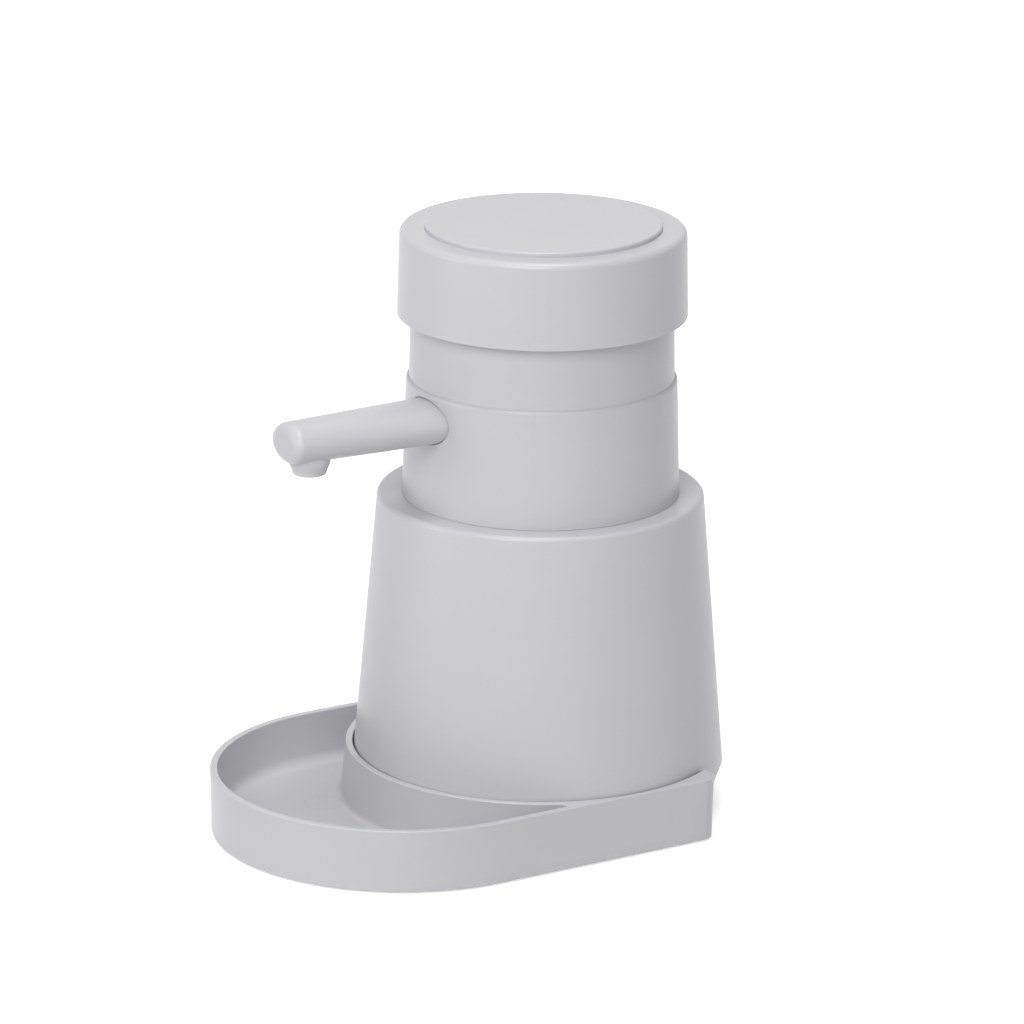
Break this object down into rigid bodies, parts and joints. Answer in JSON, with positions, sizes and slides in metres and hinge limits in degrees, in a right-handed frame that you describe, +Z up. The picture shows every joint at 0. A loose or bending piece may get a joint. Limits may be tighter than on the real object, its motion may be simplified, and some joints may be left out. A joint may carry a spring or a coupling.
{
  "type": "hand sanitizer dispenser",
  "caption": "Tapered bottle standing in a round-ended drip tray, with a lift-out pump unit, a fixed spout and a large round palm-press head that springs back.",
  "frame": {"origin": "middle of the bounding box at the underside of the tray's feet; the bottle's axis is 20 mm behind it, at x = -0.020", "axes": "+Z up along the bottle's axis, +X the way the spout points, towards the tray's round front, +Y to the left of the spout seen from behind it"},
  "size_m": [0.1306, 0.093, 0.1467],
  "materials": {
    "shell_plastic": "fine satin",
    "inner_plastic": "moulded",
    "seal_rubber": "matte",
    "foot_rubber": "matte",
    "steel": "drawn"
  },
  "bodies": {
    "tray": {"tray": "shell_plastic", "tray_feet": "foot_rubber"},
    "bottle": {"bottle_shell": "shell_plastic", "bottle_base": "shell_plastic", "bottle_neck": "shell_plastic", "neck_oring": "seal_rubber"},
    "gasket": {"neck_gasket": "seal_rubber"},
    "pump": {"collar_shell": "shell_plastic", "pump_deck": "inner_plastic", "deck_skirt": "inner_plastic", "deck_screws": "steel", "guide_cup": "inner_plastic", "guide_bush": "inner_plastic", "pump_barrel": "inner_plastic", "valve_retainer": "inner_plastic", "dip_tube": "inner_plastic", "strainer": "inner_plastic", "outlet_elbow": "inner_plastic", "riser_tube": "inner_plastic", "spout_elbow": "inner_plastic", "spout_tube": "shell_plastic", "spout_seal": "seal_rubber", "nozzle_tip": "shell_plastic", "nozzle_valve": "seal_rubber", "vent_valve": "seal_rubber"},
    "head": {"press_cap": "shell_plastic", "press_pad": "shell_plastic", "plunger": "inner_plastic", "plunger_screw": "steel", "return_spring": "steel", "piston": "inner_plastic", "piston_seal": "seal_rubber"},
    "inlet_check": {"inlet_ball": "steel"},
    "outlet_check": {"outlet_ball": "steel"}
  },
  "joints": [
    {"name": "bottle_lift", "type": "slide", "parent": "tray", "child": "bottle", "axis": [0, 0, 1], "range_m": [0, 0.1]},
    {"name": "pump_turn", "type": "hinge", "parent": "bottle", "child": "gasket", "pos_m": [-0.02, 0, 0.0915], "axis": [0, 0, 1], "continuous": true},
    {"name": "pump_lift", "type": "slide", "parent": "gasket", "child": "pump", "axis": [0, 0, 1], "range_m": [0, 0.1]},
    {"name": "head_press", "type": "slide", "parent": "pump", "child": "head", "axis": [0, 0, 1], "range_m": [-0.013, 0], "stiffness_N_per_m": 500, "springref_m": 0.006, "deforming": ["return_spring"]},
    {"name": "inlet_valve", "type": "slide", "parent": "pump", "child": "inlet_check", "axis": [0, 0, 1], "range_m": [0, 0.0012]},
    {"name": "outlet_valve", "type": "slide", "parent": "pump", "child": "outlet_check", "axis": [0, 0, 1], "range_m": [0, 0.0012]}
  ]
}
